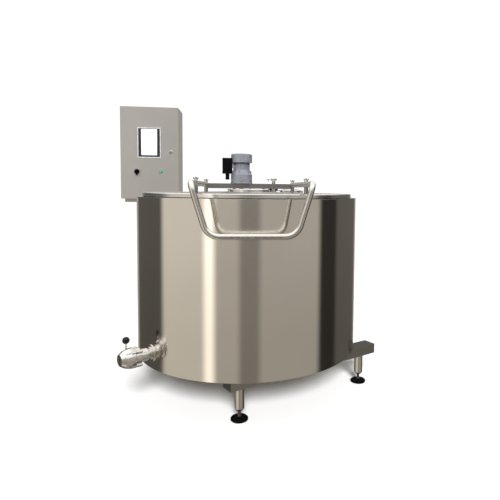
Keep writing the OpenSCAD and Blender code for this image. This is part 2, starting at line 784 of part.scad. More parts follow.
module cleaning_fitting() color("gray") difference() {
    at_tank() translate([stub_x, stub_y, 0]) {
        translate([0, 0, lid_low + 4]) cylinder(r = stub_r, h = clamp_low - lid_low);
        translate([0, 0, lid_low + 4]) cylinder(r = stub_r + 7, h = lid_top + 4 - lid_low);
        translate([0, 0, clamp_low]) turned([[0, 0], [15, 0], [19, 4], [19, 14], [15, 18], [0, 18]]);
        // clamp screw with its wing nut
        rod([-15, 0, clamp_low + 9], [-36, 0, clamp_low + 9], 3);
        translate([-38, 0, clamp_low + 9]) sphere(r = 6.5);
        box(-34.5, -31.5, -4, 4, clamp_low - 7, clamp_low + 9);
    }
    difference() {
        at_tank() lid_form();
        at_tank() translate([stub_x, stub_y, 0]) cylinder(r = stub_r, h = 2 * shell_top);
    }
    // pipe's inside, blind under the cap
    at_tank() translate([stub_x, stub_y, 0]) cylinder(r = stub_r - 2, h = clamp_low + 6);
}

// ---------- drive ----------
gear_wall = 6;

module gearbox_housing() color("lightgray") at_drive() difference() {
    union() {
        turned([[0, gearbox_low], [gearbox_r + 1, gearbox_low], [gearbox_r + 1, gearbox_low + 6],
                [gearbox_r - 1, gearbox_low + 8], [gearbox_r - 1, cone_low - 3], [gearbox_r - 3, cone_low],
                [motor_r, motor_low - 8], [motor_r, motor_low], [0, motor_low]]);
        // ribs up the cone
        for (a = [15 : 60 : 315]) rotate([0, 0, a]) translate([0, -2.5, 0])
            box(motor_r - 8, gearbox_r - 4, 0, 5, cone_low - 6, motor_low - 12);
    }
    turned([[0, gearbox_low + 10], [gearbox_r - gear_wall - 1, gearbox_low + 10],
            [gearbox_r - gear_wall - 1, cone_low - 6], [motor_r - gear_wall - 4, motor_low - 8],
            [0, motor_low - 8]]);
    cylinder(r = shaft_r + RUN, h = gearbox_low + 12);
    translate([0, 0, cone_low]) cylinder(r = motor_shaft_r + RUN, h = cone_h + 10);
}

bore_r = 40;

module motor_housing() color("lightgray") at_drive() difference() {
    union() {
        translate([0, 0, motor_low]) cylinder(r = motor_r - 5, h = motor_h + 4);
        // end shield inside the cowl
        translate([0, 0, cowl_low]) cylinder(r = cowl_r - cowl_wall, h = 4);
        for (i = [0 : fin_count - 1]) rotate([0, 0, (i + 0.5) * 360 / fin_count])
            box(motor_r - 8, motor_r, -1.2, 1.2, motor_low, cowl_low + 1);
        // flat seat of the terminal box
        box(-motor_r - 18, -bore_r, -22, 22, motor_low + 4, cowl_low - 3);
    }
    translate([0, 0, motor_low + 3]) cylinder(r = bore_r, h = motor_h - 3);
    translate([0, 0, motor_low - 1]) cylinder(r = motor_shaft_r + RUN, h = motor_h + 20);
}

module stator() color("saddlebrown") at_drive()
    translate([0, 0, motor_low + 6]) tube(bore_r, rotor_r + air_gap, motor_h - 12);

module motor_rotor() color("gray") at_drive() {
    translate([0, 0, cone_low + 12]) cylinder(r = motor_shaft_r, h = cowl_top - cone_low - 26);
    translate([0, 0, motor_low + 6]) cylinder(r = rotor_r, h = motor_h - 12);
}

fan_low = cowl_low + 12;
fan_h = 20;

module cooling_fan() color("dimgray") at_drive() difference() {
    union() {
        translate([0, 0, fan_low]) cylinder(r = 12, h = fan_h);
        translate([0, 0, fan_low]) cylinder(r = 48, h = 2.5);
        for (a = [0 : 45 : 315]) rotate([0, 0, a]) box(8, 48, -1, 1, fan_low + 1, fan_low + fan_h);
    }
    translate([0, 0, fan_low - 1]) cylinder(r = motor_shaft_r, h = fan_h + 2);
}

module fan_cowl() color("lightgray") at_drive() difference() {
    turned([[0, cowl_low], [cowl_r, cowl_low], [cowl_r, cowl_top - 5], [cowl_r - 5, cowl_top],
            [0, cowl_top]]);
    turned([[0, cowl_low - 1], [cowl_r - cowl_wall, cowl_low - 1], [cowl_r - cowl_wall, cowl_top - 5],
            [cowl_r - 5, cowl_top - cowl_wall], [0, cowl_top - cowl_wall]]);
    // air slots in the top
    for (r = [16 : 8 : 48], a = [0 : 90 : 270]) translate([0, 0, cowl_top - 6])
        rotate([0, 0, a + 8]) rotate_extrude(angle = 74) translate([r, 0]) square([4, 12]);
}

tbox_w = 58;
tbox_d = 76;
tbox_h = 93;
tbox_x1 = -56;
tbox_top = cowl_low + 26;
tbox_low = tbox_top - tbox_h;
gland_x = tbox_x1 - tbox_w / 2;

module terminal_box() color("black") at_drive() difference() {
    union() {
        box(tbox_x1 - tbox_w, tbox_x1, -tbox_d / 2, tbox_d / 2, tbox_low, tbox_top);
        // cable gland with its hexagon and dome
        translate([gland_x, 0, tbox_low - 34]) cylinder(r = 10, h = 35);
        translate([gland_x, 0, tbox_low - 12]) cylinder(r = 13, h = 9, $fn = 6);
        translate([gland_x, 0, tbox_low - 36]) cylinder(r = 12, h = 20);
    }
    // lid seam round the box
    for (y = [-tbox_d / 2 - 1, tbox_d / 2 - 1])
        box(tbox_x1 - tbox_w + 16, tbox_x1 - tbox_w + 17.5, y, y + 2, tbox_low - 1, tbox_top + 1);
    // hollow, and the bore of the gland
    box(tbox_x1 - tbox_w + 4, tbox_x1 - 16, -tbox_d / 2 + 4, tbox_d / 2 - 4, tbox_low + 4, tbox_top - 4);
    translate([gland_x, 0, tbox_low - 40]) cylinder(r = 5, h = 50);
    cylinder(r = gearbox_r + 2, h = 3 * shell_top);
    box(-motor_r - 18, -bore_r, -22, 22, motor_low + 4, cowl_low - 3);
}

module agitator_shaft() color("silver") at_drive() difference() {
    translate([0, 0, blade_z]) cylinder(r = shaft_r, h = cone_low - 10 - blade_z);
    // set screw's flat hole in the lower end
    translate([0, 0, blade_z - 1]) cylinder(r = 3, h = 16);
}

module agitator_blades() color("silver") at_drive() difference() {
    union() {
        translate([0, 0, blade_z]) cylinder(r = hub_r, h = blade_h);
        for (a = [0, 180]) rotate([0, 0, a]) translate([hub_r - 4, 0, blade_z + blade_h / 2])
            rotate([30, 0, 0]) translate([0, -2, -blade_h / 2]) cube([blade_reach - hub_r, 4, blade_h]);
    }
    translate([0, 0, blade_z - 20]) cylinder(r = shaft_r, h = blade_h + 40);
}

// ---------- control cabinet ----------
module cabinet_box() color("gainsboro") at_tank() {
    difference() {
        box(cab_x0, cab_x1, box_y0, cab_y1, cab_z0, cab_z1);
        box(cab_x0 + cab_t, cab_x1 - cab_t, box_y0 + cab_t, cab_y1 - cab_t, cab_z0 + cab_t, cab_z1 - cab_t);
        box(cab_x0 + 14, cab_x1 - 14, box_y0 - 1, box_y0 + 10, cab_z0 + 14, cab_z1 - 14);
        // cable entry in the bottom
        for (x = [100, 160, 220]) translate([cab_x1 - x, cab_y1 - 60, cab_z0 - 1]) cylinder(r = 10, h = 5);
    }
    // two lugs with the door's pivot pins
    for (top = [0, 1]) {
        z = top == 1 ? cab_z1 - cab_t - lug_clear - lug_t : cab_z0 + cab_t + lug_clear;
        box(pivot_x - lug_r, pivot_x + lug_r, pivot_y, box_y0 + 1, z, z + lug_t);
        translate([pivot_x, pivot_y, z]) cylinder(r = lug_r, h = lug_t);
        translate([pivot_x, pivot_y, top == 1 ? z : z - lug_clear - cab_t])
            cylinder(r = pivot_r, h = lug_t + lug_clear + cab_t);
    }
}

module cabinet_door() color("gainsboro") at_tank() difference() {
    box(cab_x0, cab_x1, cab_y0, cab_y0 + door_t, cab_z0, cab_z1);
    box(cab_x0 + cab_t, cab_x1 - cab_t, cab_y0 + cab_t, cab_y0 + door_t + 1, cab_z0 + cab_t, cab_z1 - cab_t);
    // slots in the left return for the lugs
    for (z = [cab_z0 + cab_t, cab_z1 - cab_t - lug_t - 2 * lug_clear])
        box(cab_x0 - 1, cab_x0 + cab_t + 1, cab_y0 + cab_t, cab_y0 + door_t + 1, z, z + lug_t + 2 * lug_clear);
    translate([pivot_x, pivot_y, cab_z0 - 1]) cylinder(r = pivot_r + RUN, h = cab_h + 2);
    // cut-outs for the display and the controls
    box(display_x - display_w / 2 + 8, display_x + display_w / 2 - 8, cab_y0 - 1, cab_y0 + 5,
        display_z - display_h / 2 + 8, display_z + display_h / 2 - 8);
    door_bore(switch_x, switch_z, 11);
    door_bore(button_x, button_z, 11);
    door_bore(lock_x, lock_z, 11);
}

module door_bore(x, z, r) {
    translate([x, cab_y0 - 5, z]) rotate([-90, 0, 0]) cylinder(r = r, h = 40);
}

gasket_side = 10;

module door_gasket() color("black") at_tank() difference() {
    box(cab_x0 + 16, cab_x1 - 6, cab_y0 + door_t - 8, box_y0 - REST, cab_z0 + 12, cab_z1 - 12);
    box(cab_x0 + 16 + gasket_side, cab_x1 - 6 - gasket_side, cab_y0, box_y0 + 5,
        cab_z0 + 12 + gasket_side, cab_z1 - 12 - gasket_side);
}

module mounting_plate() color("orange") at_tank() {
    box(cab_x0 + 20, cab_x1 - 20, cab_y1 - 20, cab_y1 - 18, cab_z0 + 20, cab_z1 - 20);
    for (x = [cab_x0 + 40, cab_x1 - 40], z = [cab_z0 + 40, cab_z1 - 40])
        translate([x, cab_y1 - cab_t, z]) rotate([90, 0, 0]) cylinder(r = 5, h = 18 - cab_t);
    // two rails with the contactors, breakers and the controller
    for (z = [cab_z0 + 170, cab_z0 + 380]) {
        box(cab_x0 + 40, cab_x1 - 40, cab_y1 - 27.5, cab_y1 - 20, z - 17.5, z + 17.5);
        for (i = [0 : 5]) box(cab_x0 + 60 + i * 46, cab_x0 + 60 + i * 46 + 40, cab_y1 - 100, cab_y1 - 27.5,
                              z - 40, z + 40);
    }
}

frame_proud = 5;

module display_frame() color("gray") at_tank() difference() {
    union() {
        box(display_x - display_w / 2, display_x + display_w / 2, cab_y0 - frame_proud, cab_y0,
            display_z - display_h / 2, display_z + display_h / 2);
        box(display_x - display_w / 2 + 8, display_x + display_w / 2 - 8, cab_y0 - 1, cab_y0 + 46,
            display_z - display_h / 2 + 8, display_z + display_h / 2 - 8);
    }
    box(display_x - screen_w / 2 - 20, display_x + screen_w / 2 + 20, cab_y0 - frame_proud - 1,
        cab_y0 - frame_proud + 3, display_z - screen_h / 2 - 9, display_z + screen_h / 2 + 9);
}

module display_screen() color("black") at_tank()
    box(display_x - screen_w / 2 - 20, display_x + screen_w / 2 + 20, cab_y0 - frame_proud + 1,
        cab_y0 - frame_proud + 3, display_z - screen_h / 2 - 9, display_z + screen_h / 2 + 9);

module at_door(x, z) {
    at_tank() translate([x, cab_y0, z]) rotate([90, 0, 0]) children();
}

plate_s = 58;
plate_t = 3;

module switch_plate() color("silver") at_door(switch_x, switch_z) difference() {
    union() {
        translate([-plate_s / 2, -plate_s / 2, 0]) cube([plate_s, plate_s, plate_t]);
        translate([0, 0, -38]) cylinder(r = 11, h = 39);
        translate([-22, -22, -60]) cube([44, 44, 24]);
    }
    translate([0, 0, -30]) cylinder(r = 5 + RUN, h = 60);
}

// main switch knob with its pointer down
module switch_knob() color("black") at_door(switch_x, switch_z) {
    translate([0, 0, -25]) cylinder(r = 5, h = 30);
    translate([0, 0, plate_t + REST]) turned([[0, 0], [18, 0], [18, 5], [15, 8], [0, 8]]);
    translate([-5, -25, plate_t + REST]) cube([10, 36, 20]);
}

module button_ring() color("gray") at_door(button_x, button_z) difference() {
    union() {
        turned([[0, 0], [15, 0], [15, 3], [13, 5], [0, 5]]);
        translate([0, 0, -35]) cylinder(r = 11, h = 36);
    }
    translate([0, 0, -8]) cylinder(r = 9.5 + RUN, h = 20);
    translate([0, 0, -30]) cylinder(r = 4 + RUN, h = 40);
}

module button_cap() color("green") at_door(button_x, button_z) {
    translate([0, 0, -3]) turned([[0, 0], [9.5, 0], [9.5, 11], [7, 13], [0, 13.5]]);
    translate([0, 0, -20]) cylinder(r = 4, h = 18);
}

cam_len = 46;

// quarter-turn lock; its cam hangs down, and lies behind the box's lip once turned
module lock_barrel() color("dimgray") at_door(lock_x, lock_z) {
    turned([[0, 0], [15, 0], [15, 2], [11, 5], [4, 5], [4, 2], [0, 2]]);
    translate([0, 0, -door_t - 2]) cylinder(r = 11 - RUN, h = door_t + 3);
    translate([-8, -cam_len, -door_t - 9]) cube([16, cam_len + 8, 2.5]);
    translate([0, 0, -door_t - 9]) cylinder(r = 6, h = 10);
}

arm_low = cab_z0 - arm_s;

// square tube from a to b along one axis, at the bracket's height
module arm(x0, x1, y0, y1) {
    along_x = abs(x1 - x0) > abs(y1 - y0);
    w = 2;
    difference() {
        box(x0, x1, y0, y1, arm_low, cab_z0);
        box(x0 + (along_x ? -1 : w), x1 - (along_x ? -1 : w), y0 + (along_x ? w : -1),
            y1 - (along_x ? w : -1), arm_low + w, cab_z0 - w);
    }
}

module cabinet_bracket() color("silver") difference() {
    at_tank() {
        arm(cab_x0 + 20, -sqrt(pow(tank_r, 2) - pow(cab_y0 + 32, 2)) + 30, cab_y0 + 32, cab_y0 + 32 + arm_s);
        arm(cab_x1 - 32 - arm_s, cab_x1 - 32, 0, cab_y0 + 32);
        arm(cab_x1 - 32 - arm_s, cab_x1 - 32, cab_y0 + 32 + arm_s, cab_y1 - 10);
        arm(cab_x0 + 20, cab_x0 + 20 + arm_s, cab_y0 + 32 + arm_s, cab_y1 - 10);
    }
    at_tank() translate([0, 0, shell_bot]) cylinder(r = tank_r, h = 2 * shell_h);
}

// ---------- drawing ----------
outer_shell();
inner_vessel();
insulation();
evaporator_plate();
bottom_cover();
top_ring();
lid_gasket();
base_beams();
beam_end_caps();
leg_tubes();
foot_spindle(0);  // foot_spindle_1
foot_spindle(1);  // foot_spindle_2
foot_spindle(2);  // foot_spindle_3
foot_spindle(3);  // foot_spindle_4
foot_pad(0);  // foot_pad_1
foot_pad(1);  // foot_pad_2
foot_pad(2);  // foot_pad_3
foot_pad(3);  // foot_pad_4
outlet_pipe();
union_nut();
valve_body();
valve_seals();
valve_bolts();
valve_disc();
valve_lever();
lever_knob();
hinge_brackets();
hinge_pins();
hinge_leaves();
lid_shell();
shaft_seal();
bridge_bar();
lift_handle();
handle_studs();
wing_nuts();
inspection_ring();
inspection_cover();
cover_grip();
cleaning_fitting();
gearbox_housing();
motor_housing();
stator();
motor_rotor();
cooling_fan();
fan_cowl();
terminal_box();
agitator_shaft();
agitator_blades();
cabinet_bracket();
cabinet_box();
mounting_plate();
cabinet_door();
door_gasket();
display_frame();
display_screen();
switch_plate();
switch_knob();
button_ring();
button_cap();
lock_barrel();
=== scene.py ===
"""Looks of the bulk milk tank: its materials, small fastenings and weld beads, and the studio round it."""
import json
import math

import bmesh
import bpy
from mathutils import Matrix, Vector


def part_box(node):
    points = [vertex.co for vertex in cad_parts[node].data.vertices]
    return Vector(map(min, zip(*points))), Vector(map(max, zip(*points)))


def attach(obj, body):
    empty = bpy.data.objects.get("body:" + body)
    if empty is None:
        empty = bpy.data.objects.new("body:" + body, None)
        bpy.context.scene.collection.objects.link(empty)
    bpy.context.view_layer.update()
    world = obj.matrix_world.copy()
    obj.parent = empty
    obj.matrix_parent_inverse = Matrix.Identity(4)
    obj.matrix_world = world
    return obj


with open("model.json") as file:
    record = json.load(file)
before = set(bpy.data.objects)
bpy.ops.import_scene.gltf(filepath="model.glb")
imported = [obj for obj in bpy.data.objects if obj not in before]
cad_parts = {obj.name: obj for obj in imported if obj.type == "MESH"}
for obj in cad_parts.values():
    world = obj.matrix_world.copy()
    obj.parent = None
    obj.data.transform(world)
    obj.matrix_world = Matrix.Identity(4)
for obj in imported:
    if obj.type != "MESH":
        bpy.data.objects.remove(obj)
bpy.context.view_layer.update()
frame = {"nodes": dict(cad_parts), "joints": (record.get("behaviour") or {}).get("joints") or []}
NODES = frame["nodes"]

# ---------- places, worked out from the frame ----------
SHELL_LOW, SHELL_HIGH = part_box("outer_shell")
AXIS = Vector(((SHELL_LOW.x + SHELL_HIGH.x) / 2, (SHELL_LOW.y + SHELL_HIGH.y) / 2, 0))
TANK_R = (SHELL_HIGH.x - SHELL_LOW.x) / 2
UP = Vector((0, 0, 1))
RIGHT = Vector((1, 0, 0))


def centre_of(node):
    low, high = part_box(node)
    return (low + high) / 2


# ---------- node helpers ----------
def add(tree, kind, inputs=None, **settings):
    """A new shader node, with its settings, and its inputs given as numbers or as sockets to link."""
    node = tree.nodes.new(kind)
    for name, value in settings.items():
        setattr(node, name, value)
    for name, value in (inputs or {}).items():
        if isinstance(value, bpy.types.NodeSocket):
            tree.links.new(value, node.inputs[name])
        else:
            node.inputs[name].default_value = value
    return node


def maths(tree, operation, a, b=0.0):
    return add(tree, "ShaderNodeMath", {0: a, 1: b}, operation=operation).outputs[0]


def flat_place(tree, stretch):
    """The point on the piece in metres, stretched along its axes."""
    place = add(tree, "ShaderNodeTexCoord").outputs["Object"]
    return add(tree, "ShaderNodeMapping", {"Vector": place, "Scale": stretch}).outputs[0]


def round_place(tree, stretch):
    """The point unrolled round the tank's axis: along the circumference, out from the axis, and up."""
    place = add(tree, "ShaderNodeTexCoord").outputs["Object"]
    shifted = add(tree, "ShaderNodeVectorMath", {0: place, 1: AXIS}, operation="SUBTRACT").outputs[0]
    part = add(tree, "ShaderNodeSeparateXYZ", {0: shifted})
    angle = maths(tree, "ARCTAN2", part.outputs[0], part.outputs[1])
    radius = maths(tree, "SQRT", maths(
        tree, "ADD", maths(tree, "POWER", part.outputs[0], 2.0), maths(tree, "POWER", part.outputs[1], 2.0)))
    unrolled = add(tree, "ShaderNodeCombineXYZ", {0: maths(tree, "MULTIPLY", angle, TANK_R), 1: radius,
                                                  2: part.outputs[2]}).outputs[0]
    return add(tree, "ShaderNodeMapping", {"Vector": unrolled, "Scale": stretch}).outputs[0]


def noise(tree, place, scale, detail=3.0, roughness=0.5):
    inputs = {"Vector": place, "Scale": scale, "Detail": detail, "Roughness": roughness}
    return add(tree, "ShaderNodeTexNoise", inputs).outputs[0]


def spread(tree, value, low, high, start=0.3, end=0.7):
    """A value between start and end, which suit a noise, laid out from low to high."""
    inputs = {"Value": value, "From Min": start, "From Max": end, "To Min": low, "To Max": high}
    return add(tree, "ShaderNodeMapRange", inputs).outputs[0]


def tinted(tree, amount, dark, light):
    """A colour between dark and light."""
    mix = add(tree, "ShaderNodeMix", data_type="RGBA")
    tree.links.new(amount, mix.inputs[0])
    mix.inputs[6].default_value = (*dark, 1)
    mix.inputs[7].default_value = (*light, 1)
    return mix.outputs[2]


def shade(colour, factor):
    return tuple(min(1.0, c * factor) for c in colour)


def start_material(name, metallic=0.0, rough=0.5, **constants):
    """A new material with its Principled shader; constants are its sockets' own values."""
    material = bpy.data.materials.new(name)
    material.use_nodes = True
    tree = material.node_tree
    shader = tree.nodes["Principled BSDF"]
    shader.inputs["Metallic"].default_value = metallic
    shader.inputs["Roughness"].default_value = rough
    for socket, value in constants.items():
        shader.inputs[socket.replace("_", " ")].default_value = value
    return material, tree, shader


def finish_surface(tree, shader, colour, rough, height, depth, edge=0.0006):
    """Links colour and roughness, and gives the surface rounded edges and a fine relief of that depth."""
    tree.links.new(colour, shader.inputs["Base Color"])
    tree.links.new(rough, shader.inputs["Roughness"])
    rounded = add(tree, "ShaderNodeBevel", {"Radius": edge}, samples=4).outputs[0]
    relief = add(tree, "ShaderNodeBump", {"Height": height, "Distance": depth, "Strength": 1.0,
                                          "Normal": rounded})
    tree.links.new(relief.outputs[0], shader.inputs["Normal"])


# ---------- materials ----------
def brushed_steel(name, colour, rough, place, grain, spread_up=None, variety=0.05, depth=0.00001, top_shade_share=1.0):
    """Stainless steel with a brushed grain, which place and grain lay along the piece. spread_up draws its
    reflections out upright, and the top shade share is the share of its brightness that a face that looks up
    keeps: painted shade on the upward faces."""
    material, tree, shader = start_material(name, metallic=1.0, rough=rough)
    fine = noise(tree, place(tree, grain), 1.0, 4.0, 0.6)
    patches = noise(tree, flat_place(tree, (1, 1, 1)), 3.0, 3.0)
    both = maths(tree, "ADD", maths(tree, "MULTIPLY", fine, 0.6), maths(tree, "MULTIPLY", patches, 0.4))
    colours = tinted(tree, spread(tree, both, 0.0, 1.0),
                     shade(colour, 1 - variety), shade(colour, 1 + variety))
    # painted shade: faces that look up are darkened to the given share of their brightness, as if less light
    # fell on them
    if top_shade_share < 1.0:
        normal = add(tree, "ShaderNodeNewGeometry").outputs["Normal"]
        facing_up = add(tree, "ShaderNodeSeparateXYZ", {0: normal}).outputs[2]
        top_shade_factor = spread(tree, facing_up, 1.0, top_shade_share, 0.5, 0.9)
        shaded_scale_inputs = {0: colours, "Scale": top_shade_factor}
        colours = add(tree, "ShaderNodeVectorMath", shaded_scale_inputs, operation="SCALE").outputs[0]
    finish_surface(tree, shader, colours, spread(tree, both, rough * 0.85, rough * 1.15), fine, depth)
    if spread_up:
        shader.inputs["Anisotropic"].default_value = spread_up
        upright = add(tree, "ShaderNodeCombineXYZ", {2: 1.0}).outputs[0]
        tree.links.new(upright, shader.inputs["Tangent"])
    return material


def smooth_steel(name, colour, rough, scale=60.0, depth=0.00002):
    """Ground or polished stainless steel with faint smears."""
    material, tree, shader = start_material(name, metallic=1.0, rough=rough)
    smears = noise(tree, flat_place(tree, (1, 1, 1)), scale, 4.0)
    colours = tinted(tree, spread(tree, smears, 0.0, 1.0), shade(colour, 0.95), shade(colour, 1.04))
    finish_surface(tree, shader, colours, spread(tree, smears, rough * 0.7, rough * 1.3), smears, depth)
    return material


def cast_paint(name, colour, rough=0.38, metallic=0.35):
    """Silver-grey paint over a casting: orange peel, and faint patches of dust."""
    material, tree, shader = start_material(name, metallic=metallic, rough=rough,
                                            Coat_Weight=0.25, Coat_Roughness=0.3)
    peel = noise(tree, flat_place(tree, (1, 1, 1)), 420.0, 2.0)
    dust = noise(tree, flat_place(tree, (1, 1, 1)), 35.0, 5.0)
    colours = tinted(tree, spread(tree, dust, 0.0, 1.0), shade(colour, 0.88), shade(colour, 1.05))
    finish_surface(tree, shader, colours, spread(tree, dust, rough * 0.85, rough * 1.2), peel, 0.0001, 0.001)
    return material


def moulded(name, colour, rough, scale=900.0, depth=0.00006, coat=0.0, shine=0.5):
    """Moulded plastic with a fine spark-eroded texture."""
    material, tree, shader = start_material(name, rough=rough, Coat_Weight=coat, Coat_Roughness=0.08,
                                            Specular_IOR_Level=shine)
    pits = noise(tree, flat_place(tree, (1, 1, 1)), scale, 2.0)
    wear = noise(tree, flat_place(tree, (1, 1, 1)), 40.0, 4.0)
    colours = tinted(tree, spread(tree, wear, 0.0, 1.0), shade(colour, 0.85), shade(colour, 1.2))
    finish_surface(tree, shader, colours, spread(tree, wear, rough * 0.9, rough * 1.1), pits, depth, 0.0008)
    return material


def black_rubber():
    material, tree, shader = start_material("black_rubber", rough=0.9, Specular_IOR_Level=0.03)
    dust = noise(tree, flat_place(tree, (1, 1, 1)), 70.0, 5.0)
    colours = tinted(tree, spread(tree, dust, 0.0, 1.0, 0.45, 0.8),
                     (0.002, 0.002, 0.002), (0.010, 0.0098, 0.0095))
    grain = noise(tree, flat_place(tree, (1, 1, 1)), 600.0, 2.0)
    finish_surface(tree, shader, colours, spread(tree, dust, 0.65, 0.9), grain, 0.0001, 0.0015)
    return material


def foam():
    material, tree, shader = start_material("foam", rough=0.95)
    cells = add(tree, "ShaderNodeTexVoronoi",
                {"Vector": flat_place(tree, (1, 1, 1)), "Scale": 700.0}).outputs[0]
    patches = noise(tree, flat_place(tree, (1, 1, 1)), 9.0, 4.0)
    colours = tinted(tree, spread(tree, patches, 0.0, 1.0), (0.62, 0.50, 0.26), (0.86, 0.76, 0.48))
    finish_surface(tree, shader, colours, spread(tree, patches, 0.9, 1.0), cells, 0.0006)
    return material


def winding():
    material, tree, shader = start_material("winding", metallic=0.6, rough=0.4)
    sheets = noise(tree, flat_place(tree, (20, 20, 2500)), 1.0, 2.0)
    colours = tinted(tree, spread(tree, sheets, 0.0, 1.0), (0.20, 0.08, 0.03), (0.60, 0.30, 0.14))
    finish_surface(tree, shader, colours, spread(tree, sheets, 0.3, 0.5), sheets, 0.0001)
    return material


def threaded_steel():
    """Dark threaded bar: rounded ridges that run across it."""
    material, tree, shader = start_material("threaded_steel", metallic=1.0, rough=0.35)
    place = add(tree, "ShaderNodeTexCoord").outputs["Object"]
    height = add(tree, "ShaderNodeSeparateXYZ", {0: place}).outputs[2]
    pitch = 0.002
    ridges = maths(tree, "SINE", maths(tree, "MULTIPLY", height, 2 * math.pi / pitch))
    oil = noise(tree, flat_place(tree, (1, 1, 1)), 90.0, 4.0)
    colours = tinted(tree, spread(tree, oil, 0.0, 1.0), (0.10, 0.10, 0.10), (0.28, 0.27, 0.26))
    finish_surface(tree, shader, colours, spread(tree, oil, 0.28, 0.45), ridges, 0.0004)
    return material


def lit_display():
    """A lit field that goes from white at the top to pale blue, with a faint clouding."""
    material, tree, shader = start_material("lit_display", rough=0.15, Coat_Weight=1.0, Coat_Roughness=0.03)
    low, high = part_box("display_screen")
    place = add(tree, "ShaderNodeTexCoord").outputs["Object"]
    part = add(tree, "ShaderNodeSeparateXYZ", {0: place})
    up = spread(tree, part.outputs[2], 0.0, 1.0, low.z, high.z)
    ramp = add(tree, "ShaderNodeValToRGB", {0: up})
    ramp.color_ramp.elements[0].color = (0.50, 0.55, 0.66, 1)
    ramp.color_ramp.elements[1].color = (0.97, 0.98, 1.0, 1)
    middle = ramp.color_ramp.elements.new(0.45)
    middle.color = (0.68, 0.73, 0.92, 1)
    upper = ramp.color_ramp.elements.new(0.72)
    upper.color = (0.95, 0.96, 1.0, 1)
    clouds = noise(tree, flat_place(tree, (1, 1, 1)), 45.0, 2.0)
    veiled = add(tree, "ShaderNodeMix", data_type="RGBA", blend_type="MULTIPLY")
    veiled.inputs[0].default_value = 0.25
    tree.links.new(ramp.outputs[0], veiled.inputs[6])
    grey = add(tree, "ShaderNodeCombineColor", {0: clouds, 1: clouds, 2: clouds}).outputs[0]
    tree.links.new(grey, veiled.inputs[7])
    tree.links.new(veiled.outputs[2], shader.inputs["Base Color"])
    tree.links.new(ramp.outputs[0], shader.inputs["Emission Color"])
    shader.inputs["Emission Strength"].default_value = 0.55
    return material


def screen_glass():
    material, tree, shader = start_material("screen_glass", rough=0.06, Coat_Weight=1.0, Coat_Roughness=0.02)
    smears = noise(tree, flat_place(tree, (1, 1, 1)), 30.0, 4.0)
    colours = tinted(tree, smears, (0.006, 0.006, 0.007), (0.016, 0.016, 0.018))
    finish_surface(tree, shader, colours, spread(tree, smears, 0.04, 0.12), smears, 0.00001)
    return material


def weld_metal():
    """Steel as a weld leaves it: warm straw heat colours in places."""
    material, tree, shader = start_material("weld_metal", metallic=1.0, rough=0.35)
    heat = noise(tree, flat_place(tree, (1, 1, 1)), 60.0, 3.0)
    colours = tinted(tree, spread(tree, heat, 0.0, 1.0), (0.42, 0.38, 0.34), (0.72, 0.68, 0.62))
    finish_surface(tree, shader, colours, spread(tree, heat, 0.28, 0.5), heat, 0.0002)
    return material


# how many times a metre the grain changes along each axis
ACROSS = (6, 6, 1400)       # lines that run round the tank
RINGS = (5, 1200, 5)        # lines that run round a flat top
UPRIGHT = (1400, 1400, 6)   # lines that run up
LEVEL = (30, 30, 900)       # lines that run level
ENDWISE = (900, 30, 30)     # lines that run from front to back and up
LOOKS = {
    "shell": brushed_steel("shell_steel", (0.80, 0.76, 0.70), 0.13, round_place, ACROSS, spread_up=0.9),
    "lid": brushed_steel("lid_steel", (0.78, 0.76, 0.73), 0.24, round_place, RINGS),
    "vessel": brushed_steel("vessel_steel", (0.78, 0.78, 0.77), 0.22, round_place, ACROSS, spread_up=0.6),
    "ring": brushed_steel("ring_steel", (0.75, 0.73, 0.69), 0.22, round_place, RINGS),
    "tube": smooth_steel("tube_steel", (0.70, 0.68, 0.645), 0.24),
    "cast": smooth_steel("cast_steel", (0.76, 0.74, 0.71), 0.24, 120.0, 0.0001),
    "frame": brushed_steel("frame_steel", (0.60, 0.575, 0.53), 0.34, flat_place, LEVEL, variety=0.08),
    "dull": brushed_steel("dull_steel", (0.34, 0.337, 0.33), 0.36, flat_place, ENDWISE, variety=0.06),
    "leg": brushed_steel("leg_steel", (0.70, 0.665, 0.60), 0.30, flat_place, LEVEL, variety=0.06),
    # the base beams get painted shade on their upward faces, which keep 0.15 of their brightness
    "base": brushed_steel("base_steel", (0.38, 0.365, 0.33), 0.38, flat_place, LEVEL, variety=0.08,
                          top_shade_share=0.15),
    "cabinet": brushed_steel("cabinet_steel", (0.80, 0.79, 0.77), 0.36, flat_place, UPRIGHT, variety=0.03),
    "evaporator": smooth_steel("evaporator_steel", (0.60, 0.62, 0.64), 0.35, 25.0, 0.0002),
    "fine": smooth_steel("ground_steel", (0.62, 0.61, 0.60), 0.22, 150.0),
    "paint": cast_paint("motor_paint", (0.21, 0.22, 0.25)),
    "black": moulded("black_plastic", (0.002, 0.002, 0.003), 0.38, shine=0.08),
    "knob": moulded("knob_plastic", (0.002, 0.002, 0.0025), 0.14, coat=0.3, shine=0.2),
    "seal": moulded("seal_plastic", (0.80, 0.80, 0.77), 0.5),
    "gear": moulded("control_gear", (0.42, 0.44, 0.46), 0.5),
    "bezel": moulded("bezel_plastic", (0.40, 0.41, 0.42), 0.42),
    "green": moulded("green_plastic", (0.015, 0.30, 0.14), 0.22, coat=0.6),
    "rubber": black_rubber(),
    "foam": foam(),
    "winding": winding(),
    "thread": threaded_steel(),
    "glass": screen_glass(),
    "lit": lit_display(),
    "weld": weld_metal(),
}

